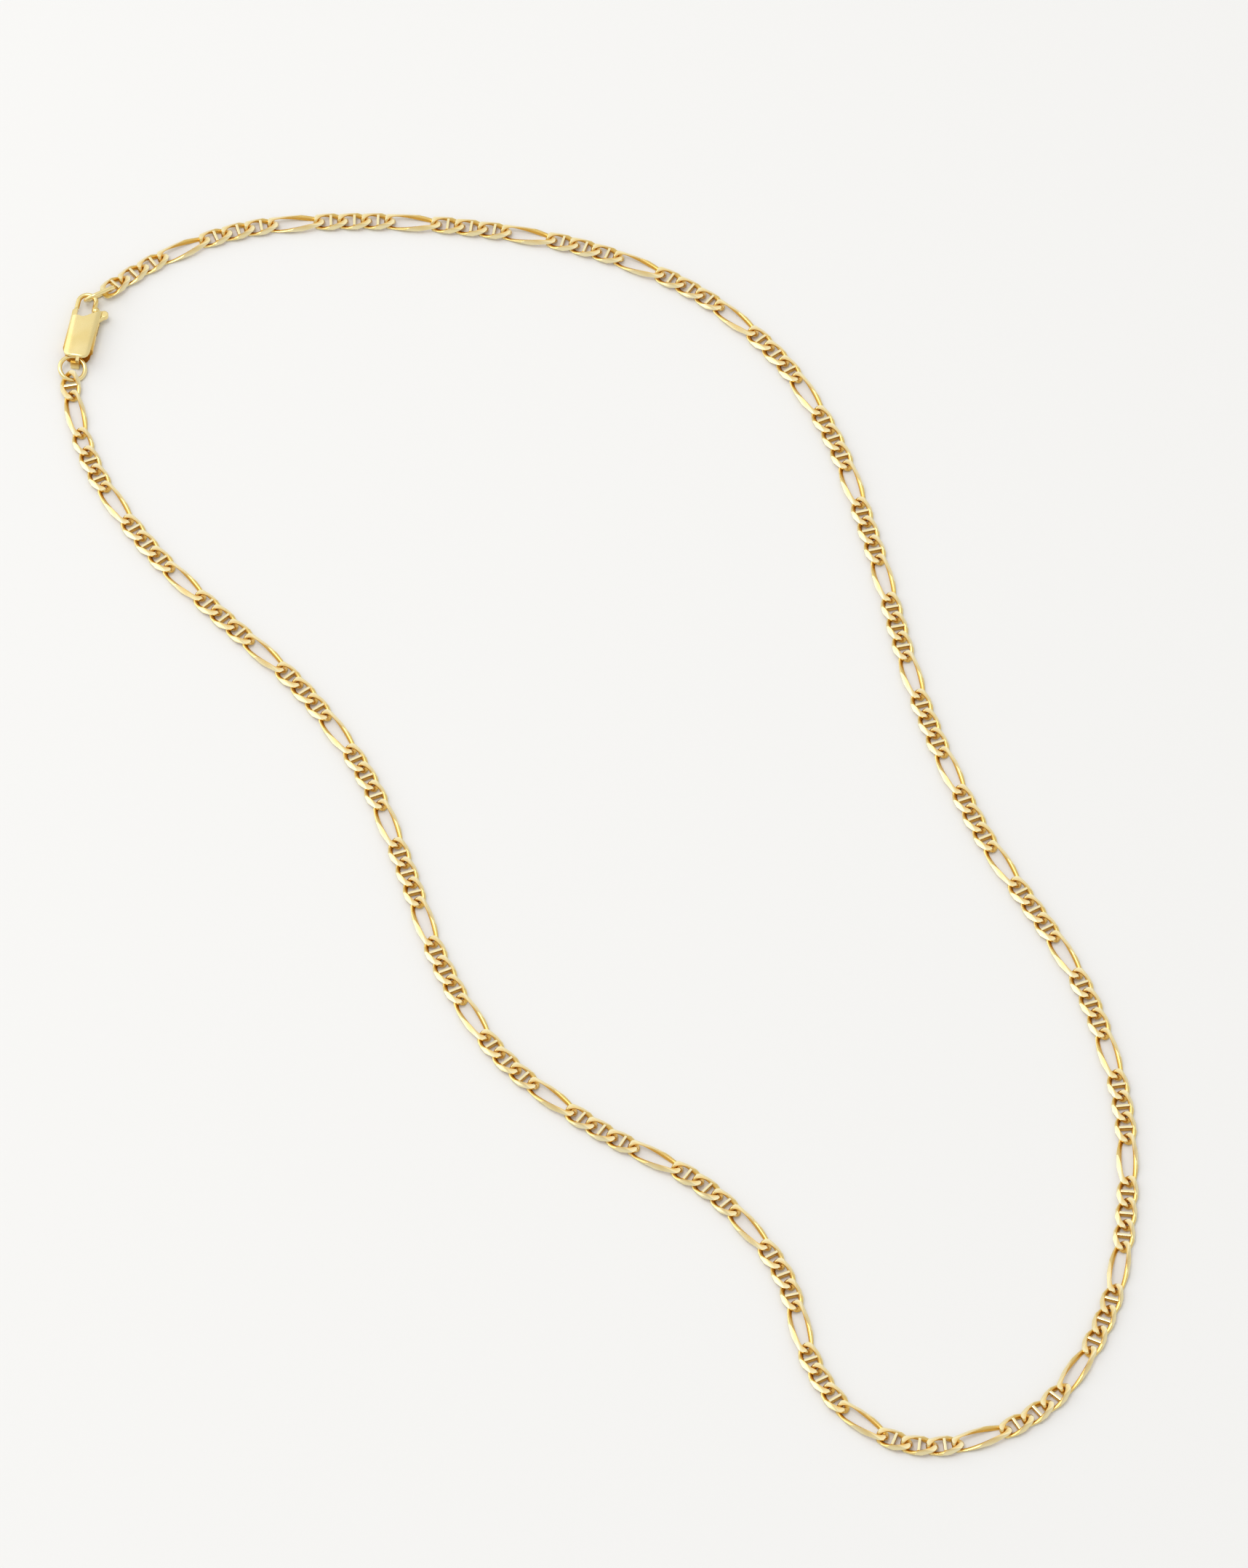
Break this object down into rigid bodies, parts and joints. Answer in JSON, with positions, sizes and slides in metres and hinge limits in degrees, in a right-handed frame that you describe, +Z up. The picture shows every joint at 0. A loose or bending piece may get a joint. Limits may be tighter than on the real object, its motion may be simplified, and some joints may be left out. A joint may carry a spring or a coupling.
{
  "type": "figaro curb chain necklace with crossbar links",
  "caption": "Closed necklace of flat-cut curb links, short barred ones between long open ones, with a trigger clasp, a jump ring and an oval end ring, lying in a loose loop.",
  "frame": {"origin": "middle of the lying loop's box, on the surface that it lies on", "axes": "+Z up from the surface; +Y away from the viewer, along the loop's longest extent; +X to the right in the picture, away from the clasp"},
  "size_m": [0.1538, 0.2112, 0.0031],
  "materials": {
    "chain": "bright polished yellow gold with flat diamond-cut faces",
    "rings": "bright polished yellow gold",
    "clasp": "bright polished pale yellow gold, softly worn",
    "lever": "bright polished yellow gold"
  },
  "bodies": {
    "necklace": {"chain_lower": "chain", "chain_upper": "chain", "jump_ring": "rings", "end_ring": "rings", "clasp_body": "clasp"},
    "lever": {"clasp_lever": "lever"}
  },
  "joints": [
    {"name": "lever_hinge", "type": "hinge", "parent": "necklace", "child": "lever", "pos_m": [-0.07304, 0.084, 0.0012], "axis": [0, 0, -1], "range_deg": [0, 20], "stiffness_Nm_per_rad": 0.0005, "springref_deg": -5.73}
  ]
}
